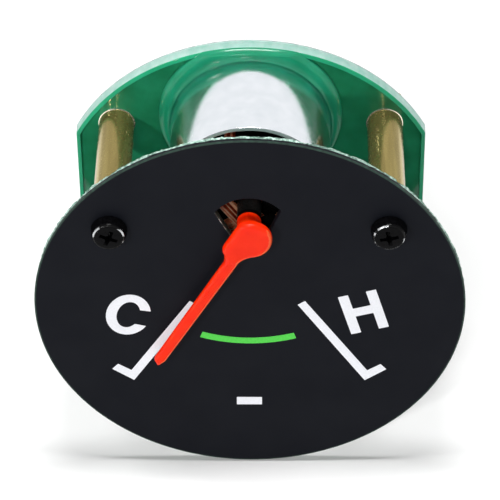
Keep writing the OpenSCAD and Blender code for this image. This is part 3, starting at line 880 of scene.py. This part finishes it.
def collar_reach(direction):
    """How far the collar's crest and foot are from the pointer's axis along a direction."""
    rise = direction[1] * COLLAR_RISE
    end = rise + sqrt(rise * rise + COLLAR_R ** 2 - COLLAR_RISE ** 2)
    return SEAT_R + 0.4 * (end - SEAT_R), end


def collar_height(x, z, gap):
    """Height of the collar above the floor; it is rounded off at its foot and at the base's edge."""
    r = hypot(x, z)
    crest, end = collar_reach((x / r, z / r))
    if r < crest:
        height = COLLAR_H - 0.45 * ((crest - r) / (crest - SEAT_R)) ** 2.2
    else:
        height = COLLAR_H * sqrt(1 - min(1.0, (r - crest) / (end - crest)) ** 2)
    shoulder = sin(QUARTER * min(1.0, max(0.0, gap) / COLLAR_SHOULDER))
    return min(height, RIM_H + (COLLAR_H - RIM_H) * shoulder)


def lip_height(gap):
    """Height of the lip above the floor: a front that slopes down outwards, and a short inner side."""
    inner = 1 - soft_step((gap - RIM_W + 0.06) / 0.06)
    return (RIM_H - 0.05 + 0.25 * gap / RIM_W) * inner


def base_front(x, z):
    """Height of the base's front above its floor at one place, and its material there."""
    gap = edge_gap(x, z)
    lip = lip_height(gap)
    collar = collar_height(x, z, gap)
    top = max(lip, collar)
    if gap < RIM_ROUND:
        top -= RIM_ROUND - sqrt(max(0.0, RIM_ROUND ** 2 - (RIM_ROUND - gap) ** 2))
    if collar > max(0.05, lip):
        return top, COLLAR_MAT
    return top, LIP_MAT if gap < RIM_W else FLOOR_MAT


def front_mat(face):
    """The material of a face of the base's front."""
    middle = face.calc_center_median()
    return base_front(middle.x, middle.z)[1]


def lip_slant(direction, reach):
    """How fast a ray from the axis nears the base's edge, per millimetre along it."""
    near, further = (edge_gap(*(direction * (reach - step))) for step in (0.01, 0.41))
    return max(0.3, (further - near) / 0.4)


def base_column(turn):
    """Points of the base's front along one ray, from the can's seat to the outer edge."""
    lip_steps = [1.2, 1.0, 0.8, 0.72, 0.66, 0.62, 0.59, 0.56, 0.5, 0.4, 0.3, 0.2, 0.15, 0.1, 0.05, 0.02, 0.0]
    direction = at_turn(1, turn)
    reach = base_distance(direction)
    crest, end = collar_reach(direction)
    collar = [SEAT_R + (crest - SEAT_R) * share for share in (0, 0.08, 0.25, 0.5, 0.75, 1)]
    collar += [crest + (end - crest) * sin(t) for t in evenly(0, QUARTER, 14)[1:]]
    collar = [min(r, reach - 0.001 * (24 - k)) for k, r in enumerate(collar)]
    slant = lip_slant(direction, reach)
    outer = [max(reach - step / slant, SEAT_R + 0.2) for step in lip_steps]
    between = evenly(collar[-1], outer[0], 6)[1:-1]
    spots = [direction * r for r in sorted(collar + between + outer)]
    return [Vector((p.x, FLOOR_Y - base_front(p.x, p.y)[0], p.y)) for p in spots]


def base_moulding():
    """Green base: floor, lip and collar in front, frosted edge, barriers on its back."""
    shape = Shape()
    seat = turned_rings([(SEAT_R - 0.6, FLOOR_Y - SEAT_H), (SEAT_R - 0.02, FLOOR_Y - SEAT_H)], BASE_COUNT)
    columns = [base_column(tau * i / BASE_COUNT) for i in range(BASE_COUNT)]
    fronts = [list(row) for row in zip(*columns)]
    edge = [Vector((p.x, p.z)) for p in fronts[-1]]
    seam_y = BASE_BACK - 0.45
    back_edge = 0.15
    walls = [
        (0.0, seam_y - 0.04), (0.03, seam_y), (0.0, seam_y + 0.04), (0.0, BASE_BACK - back_edge - 0.2),
        (back_edge * 0.3, BASE_BACK - back_edge * 0.3), (back_edge, BASE_BACK), (back_edge * 2, BASE_BACK),
    ]
    walls = [lift(inset(edge, depth), y) for depth, y in walls]
    first_wall = len(seat) + len(fronts)
    mats = dict.fromkeys(range(len(seat), first_wall - 3), front_mat)
    mats |= dict.fromkeys(range(first_wall - 3, first_wall + 3), EDGE_MAT)
    mats |= dict.fromkeys((first_wall + 3, first_wall + 4), BACK_MAT)
    made = shape.bands(seat + fronts + walls, mats)
    shape.cap([made[0]])
    shape.cap([made[-1]])
    for x in (-6.0, 6.0):
        shape.brick((x - 0.6, BASE_BACK - 0.3, -27.0), (x + 0.6, BASE_HIGH.y, -14.2), 0.15)
    # One plastic in three shades: the floor's darker green is painted shade, the lip's and collar's lighter
    # greens are painted light
    greens = [GREEN_FLOOR_PAINTED_SHADE, FROSTED, GREEN_LIP_PAINTED_LIGHT, GREEN_COLLAR_PAINTED_LIGHT, BACK_EDGE]
    shape.piece("base_moulded", greens, ["base_moulding"], 42)


# Coils
COIL_ANGLE = 35
COIL_NEAR = 1.75
COIL_W = 2.0
COIL_T = 1.2
WIRE_R = 0.11
# Windings right of this are black: painted shade
SHADE_BLACK_FROM_X = 0.6
# Strands near the tube at the far right are pale: painted glints
HIGHLIGHT_FROM_X = 2.2
HIGHLIGHT_REACH = 2.5
# The coils' materials by their places in their list
WIRE_MAT, PAINTED_HIGHLIGHT_MAT, PAINTED_SHADE_MAT, PAINTED_SHADE_BLACK_MAT = range(4)


def box_loop(half_x, half_y, bend, per_corner, per_side=0):
    """A rectangle with round corners, counter-clockwise, with more points along its sides if wanted."""
    corners = []
    for k, (sx, sy) in enumerate(((1, 1), (-1, 1), (-1, -1), (1, -1))):
        centre = (sx * (half_x - bend), sy * (half_y - bend))
        corners.append(arc(bend, 90 * k, 90 * k + 90, per_corner, centre))
    loop = []
    for k, corner in enumerate(corners):
        after = corners[(k + 1) % 4][0]
        loop += corner + [corner[-1].lerp(after, share) for share in evenly(0, 1, per_side + 1)[1:-1]]
    return loop


def winding(shape, half_x, half_y, bend, z0, z1, turns, tilt, middle):
    """One layer of wire, wound as a helix round a rectangle with round corners."""
    loop = box_loop(half_x, half_y, bend, 5, 3)
    per_turn = len(loop)
    path = []
    for k, z in enumerate(evenly(z0, z1, turns * per_turn)):
        p = loop[k % per_turn]
        wander = 0.7 * WIRE_R * noise.noise(Vector((p.x * 0.3, p.y * 0.3, 1.7 * (k // per_turn))))
        path.append(tilt @ Vector((p.x, p.y, z + wander)) + middle)

    def finish(k):
        """Copper at the left, with pale strands as painted highlights and dark ones as painted shade, and
        black at the right as painted shade, but for pale painted glints near the tube.
        """
        strand = k // per_turn
        from_tube = abs(z0 + (z1 - z0) * strand / turns)
        if path[k].x > HIGHLIGHT_FROM_X and from_tube < HIGHLIGHT_REACH:
            return PAINTED_HIGHLIGHT_MAT
        # Black right of the tube stands for the shade there, a painted shade
        if path[k].x > SHADE_BLACK_FROM_X:
            return PAINTED_SHADE_BLACK_MAT
        # Pale strands are painted highlights and dark strands painted shade, picked by noise
        shade = noise.noise(Vector((5.37 * strand, 0.4 * z0, half_x)))
        if shade > 0.1:
            return PAINTED_HIGHLIGHT_MAT
        return PAINTED_SHADE_MAT if shade < -0.12 else WIRE_MAT

    shape.tube(path, WIRE_R, 6, finish)


def coil(node, angle, half_x, half_y):
    """Two windings, one on each side of the bearing tube, with layers of wire round a core."""
    shape = Shape()
    tilt = Matrix.Rotation(radians(angle), 3, "Y")
    magnet_low, magnet_high = span("rotor_magnet")
    middle = Vector((0, (magnet_low.y + magnet_high.y) / 2, 0))
    pitch = 2.02 * WIRE_R
    core_out, core_in = 0.5, COIL_T - 0.05
    for near in (-COIL_NEAR - COIL_W, COIL_NEAR):
        for layer in range(3):
            odd = layer % 2
            deep = WIRE_R + layer * WIRE_R * 1.75
            turns = int(COIL_W / pitch) - odd
            first = near + WIRE_R + WIRE_R * odd
            ends = (first, first + turns * pitch - 2 * WIRE_R)
            z0, z1 = ends[::-1] if odd else ends
            winding(shape, half_x - deep, half_y - deep, 1.9 - deep, z0, z1, turns, tilt, middle)
        outer = box_loop(half_x - core_out, half_y - core_out, 1.4, 6)
        hollow = box_loop(half_x - core_in, half_y - core_in, 0.8, 6)
        low, high = near + 0.08, near + COIL_W - 0.08
        core = ((outer, low), (outer, high), (hollow, high), (hollow, low))
        shape.hoop([[tilt @ Vector((p.x, p.y, z)) + middle for p in loop] for loop, z in core])
    # Black plastic stands for the right-hand windings in shade, a painted shade
    wires = [COPPER, COPPER_PAINTED_HIGHLIGHT, COPPER_PAINTED_SHADE, BLACK_PLASTIC]
    shape.piece(node + "_wound", wires, [node], 60)


# Parts on the back
TERMINAL_PITCH = 12.0
PIN_PITCH = 5.5
PIN_DROP = 6.5
RIVET_DROP = 16.0
BLADE_DROP = 24.0
BLADE_W = 6.3
STRIP_T = 0.8
STRIP_W = 3.6
STRIP_BACK = BASE_BACK + STRIP_T
EYE_R = 1.7
SOLDER_R = 1.15
SOLDER_H = 0.62


def strip_outline(i):
    """The flat part of a terminal, from the eye at its pin to the root of its blade."""
    pin = Vector((i * PIN_PITCH, -PIN_DROP))
    rivet = Vector((i * TERMINAL_PITCH, -RIVET_DROP))
    along = (rivet - pin).normalized()
    lean = degrees(atan2(along.y, along.x))
    foot = -BLADE_DROP + 3.0
    side = [(STRIP_W / 2, rivet.y), (STRIP_W / 2, foot), (BLADE_W / 2, foot), (BLADE_W / 2, -BLADE_DROP)]
    left = [Vector((rivet.x - x, z)) for x, z in side]
    right = [Vector((rivet.x + x, z)) for x, z in side[::-1]]
    return arc(EYE_R, lean + 55, lean + 305, 16, pin) + left + right


def blade(shape, x):
    """The push-on blade: its outline lies in x and y, its thickness along z."""
    tip = span("terminal_sender")[1].y
    half = BLADE_W / 2
    root = BASE_BACK + 0.15
    taper, cut_in = 1.7, 0.95
    corners = [(-half, root), (half, root), (half, tip - taper), (half - cut_in, tip), (cut_in - half, tip),
               (-half, tip - taper)]
    outline = rounded([Vector((x + dx, y)) for dx, y in corners], 0.25)
    hole = ring(0.8, 24, (x, BASE_BACK + STRIP_T / 2 + 4.4))[::-1]
    flat = Shape()
    flat.slab([outline, hole], -BLADE_DROP - STRIP_T / 2, -BLADE_DROP + STRIP_T / 2, 0.14, 0.14)
    verts = {v: shape.bm.verts.new((v.co.x, v.co.z, v.co.y)) for v in flat.bm.verts}
    for face in flat.bm.faces:
        shape.bm.faces.new([verts[v] for v in face.verts])
    flat.bm.free()


def terminal(i, node):
    """Stamped strip with an eye and a push-on blade, and the solder on its pin."""
    shape = Shape()
    shape.slab([strip_outline(i)], BASE_BACK, STRIP_BACK, 0.06, 0.12)
    blade(shape, i * TERMINAL_PITCH)
    shape.piece(node + "_strip", [STRIP_BRASS], [node], 35)
    dome = [(0, STRIP_BACK + SOLDER_H)]
    for turn in evenly(0, QUARTER, 6)[1:]:
        dome.append((SOLDER_R * sin(turn) ** 0.8, STRIP_BACK - 0.02 + SOLDER_H * cos(turn)))
    dome += [(SOLDER_R, STRIP_BACK - 0.1), (0, STRIP_BACK - 0.1)]
    drop = Shape()
    drop.turn(dome, 24, (i * PIN_PITCH, -PIN_DROP))
    drop.piece(node + "_strip_solder", [SOLDER], sharp=80)


def rivets():
    """Hollow rivets: a formed head in front and a rolled lip behind."""
    shape = Shape()
    front, back = FLOOR_Y, STRIP_BACK
    profile = [
        (0.6, front - 0.3), (0.75, front - 0.4), (1.5, front - 0.4), (1.78, front - 0.24), (1.8, front),
        (1.0, front), (1.0, back), (1.8, back), (1.78, back + 0.18), (1.45, back + 0.38), (1.0, back + 0.4),
        (0.7, back + 0.3), (0.6, back + 0.1),
    ]
    for i in (-1, 0, 1):
        shape.hoop(turned_rings(profile, 40, (i * TERMINAL_PITCH, -RIVET_DROP)))
    shape.piece("terminal_rivets_rolled", [STRIP_BRASS], ["terminal_rivets"])


def can_screws():
    """Slotted pan heads and shanks of the screws that hold the can."""
    low, high = span("can_screws")
    height = high.y - BASE_BACK
    profile = [(r, BASE_BACK - y) for r, y in screw_head_profile(2.0, height)]
    profile += [(1.0, BASE_BACK), (1.0, low.y + 0.4), (0, low.y)]
    meshes = []
    for side in (-1, 1):
        body = Shape()
        body.turn(profile, 48)
        groove = Shape()
        groove.brick((-3.0, BASE_BACK + height * 0.42, -0.28), (3.0, BASE_BACK + height + 0.4, 0.28), 0.03)
        groove.bm.transform(Matrix.Rotation(radians(side * 35), 4, "Y"))
        meshes.append(body.less([groove], "screw"))
        place_mesh(meshes[-1], 0, (side * 7.0, 4.5))
    mesh = merged(meshes, "can_screws_slotted")
    finish_piece(mesh, "can_screws_slotted", [STEEL], ["can_screws"], sharp=35)


def resistor():
    """Dipped resistor with swollen ends, and its bent leads with the solder at their ends."""
    middle = (RESISTOR_LOW + RESISTOR_HIGH) / 2
    half = (RESISTOR_HIGH.x - RESISTOR_LOW.x) / 2
    radius = (RESISTOR_HIGH.z - RESISTOR_LOW.z) / 2
    lead_r, bend = 0.4, 1.1
    end_y = STRIP_BACK + 0.7
    body = Shape()
    rings = []
    for t in evenly(-1, 1, 40):
        swell = radius * (0.9 + 0.1 * soft_step((abs(t) - 0.62) / 0.2))
        close = sqrt(max(0.0, 1 - max(0.0, (abs(t) - 0.88) / 0.12) ** 2))
        circle = ring(max(lead_r, swell * close), 40, (middle.y, middle.z))
        rings.append([Vector((t * half, p.x, p.y)) for p in circle])
    body.loft(rings)
    body.piece("resistor_dipped", [ENAMEL], ["resistor_body"], 60)
    leads = Shape()
    for side in (-1, 1):
        x = side * TERMINAL_PITCH
        path = [(side * (half - 0.8), middle.y)]
        for turn in evenly(0, QUARTER, 7):
            path.append((x - side * bend * (1 - sin(turn)), middle.y + bend * (1 - cos(turn))))
        path.append((x, end_y))
        leads.tube([Vector((*spot, middle.z)) for spot in path], lead_r, 12)
        dome = [(0, end_y - 0.1), (0.35, end_y - 0.16), (0.7, end_y - 0.4), (1.1, STRIP_BACK),
                (0, STRIP_BACK - 0.05)]
        leads.turn(dome, 20, (x, middle.z))
    leads.piece("resistor_leads_bent", [TINNED], ["resistor_leads"], 60)


# Carried-over nodes keep their shape and get their finish

def dress_nodes():
    finishes = {
        BLACK_PLASTIC: ("bobbin_front", "bobbin_rear"), FERRITE: ("rotor_magnet", "return_magnet"),
        BRASS: ("front_bush", "rear_bush"), STEEL: ("spindle",), FIBRE: ("fibre_disc",),
        STRIP_BRASS: ("tag_pins",),
    }
    for material, names in finishes.items():
        for name in names:
            mesh = frame["nodes"][name].data
            mesh.materials.clear()
            mesh.materials.append(material)


# Camera, light and floor
# The camera's place and turn were solved from the dial's ellipse, the base's edge and the posts
LENS_PX = 2835
FRAME_PX = 500
SENSOR_MM = 36
CAMERA_YAW = 1.01
CAMERA_ELEVATION = 41.3
CAMERA_ROLL = -0.63
CAMERA_DISTANCE = 394.4
CAMERA_SHIFT_X = -0.03
CAMERA_SHIFT_Z = -8.13
DIAL_MIDDLE = Vector((0, 0, DIAL_CENTRE.y))


def camera():
    yaw, rise, roll = (radians(a) for a in (CAMERA_YAW, CAMERA_ELEVATION, CAMERA_ROLL))
    back = Vector((sin(yaw) * cos(rise), -cos(yaw) * cos(rise), sin(rise)))
    level = (-back).cross(Vector((0, 0, 1))).normalized()
    upright = level.cross(-back)
    right = level * cos(roll) + upright * sin(roll)
    up = upright * cos(roll) - level * sin(roll)
    spot = DIAL_MIDDLE - right * CAMERA_SHIFT_X - up * CAMERA_SHIFT_Z + back * CAMERA_DISTANCE
    data = bpy.data.cameras.new("camera")
    data.sensor_width = SENSOR_MM
    data.lens = LENS_PX / FRAME_PX * SENSOR_MM
    data.clip_start = 0.01
    data.clip_end = 20
    obj = add_object("camera", data)
    obj.matrix_world = Matrix.Translation(place(spot)) @ Matrix((right, up, back)).transposed().to_4x4()
    bpy.context.scene.camera = obj


def lamp(name, away, size, watts):
    """A soft panel that faces the dial's centre; away from it and size are in metres."""
    data = bpy.data.lights.new(name, "AREA")
    data.shape = "RECTANGLE"
    data.size, data.size_y = size
    data.energy = watts
    turn = (-Vector(away)).to_track_quat("-Z", "Y").to_matrix().to_4x4()
    add_object(name, data).matrix_world = Matrix.Translation(place(DIAL_MIDDLE) + Vector(away)) @ turn


def lights():
    lamp("key_panel", (-0.45, -0.7, 0.36), (0.07, 0.05), 3.2)
    lamp("front_panel", (-0.08, -0.69, 0.62), (0.09, 0.03), 1.3)
    lamp("top_panel", (0.0, -0.004, 0.7), (0.3, 0.13), 5.4)


def blend(tree, source, low, high, first, last):
    """Goes from first to last as the source goes from low to high."""
    inputs = {"Value": source, "From Min": low, "From Max": high, "To Min": first, "To Max": last}
    return add_node(tree, "MapRange", inputs).outputs["Result"]


def white_where_seen(tree, seen, lit):
    """One strength for what the camera, gloss and glass see, and another for light."""
    path = add_node(tree, "LightPath").outputs
    any_of = path["Is Camera Ray"]
    for kind in ("Is Glossy Ray", "Is Transmission Ray"):
        rays = {0: any_of, 1: path[kind]}
        any_of = add_node(tree, "Math", rays, operation="ADD", use_clamp=True).outputs[0]
    return blend(tree, any_of, 0.0, 1.0, lit, seen)


def world():
    """White where it is seen; as light it is brighter near the horizon than overhead."""
    made = bpy.data.worlds.new("studio")
    made.use_nodes = True
    tree = made.node_tree
    direction = add_node(tree, "TexCoord").outputs["Generated"]
    height = add_node(tree, "SeparateXYZ", {"Vector": direction}).outputs["Z"]
    strength = white_where_seen(tree, 1.0, blend(tree, height, 0.35, 0.7, 0.4, 0.14))
    entries = tree.nodes["Background"].inputs
    feed(tree, entries["Color"], (1, 1, 1, 1))
    feed(tree, entries["Strength"], strength)
    bpy.context.scene.world = made


def floor_white():
    """White that keeps the object's shadow, and glows where it is seen far from the object."""
    material = bpy.data.materials.new("floor_white")
    material.use_nodes = True
    tree = material.node_tree
    tree.nodes.remove(tree.nodes["Principled BSDF"])
    here = add_node(tree, "TexCoord").outputs["Object"]
    away = add_node(tree, "VectorMath", {0: here}, operation="LENGTH").outputs["Value"]
    strength = white_where_seen(tree, blend(tree, away, 0.06, 0.16, 0.02, 0.8), 0.0)
    diffuse = add_node(tree, "BsdfDiffuse", {"Color": (0.8, 0.8, 0.8, 1)}).outputs[0]
    glow = add_node(tree, "Emission", {"Strength": strength}).outputs[0]
    total = add_node(tree, "AddShader", {0: diffuse, 1: glow}).outputs[0]
    feed(tree, tree.nodes["Material Output"].inputs["Surface"], total)
    return material


def floor():
    """White floor just below the dial's lowest point."""
    mesh = bpy.data.meshes.new("floor")
    half = 4.0
    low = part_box("dial_plate")[0].z - 0.0002
    corners = [(p.x, p.y, low) for p in rectangle(-half, half, -half, half)]
    mesh.from_pydata(corners, [], [(0, 1, 2, 3)])
    mesh.materials.append(floor_white())
    obj = add_object("floor", mesh)


camera()
world()
floor()
lights()
dial_plate()
dial_marks()
dial_screws()
pointer()
post(-1, "post_left")
post(1, "post_right")
washers()
nuts()
shield_can()
base_moulding()
coil("coil_outer", 90 - COIL_ANGLE, 8.55, 6.25)
coil("coil_inner", -COIL_ANGLE, 7.2, 4.9)
for i, node in enumerate(("terminal_supply", "terminal_sender", "terminal_earth"), -1):
    terminal(i, node)
rivets()
can_screws()
resistor()
dress_nodes()

bpy.context.scene.view_settings.view_transform = "Standard"
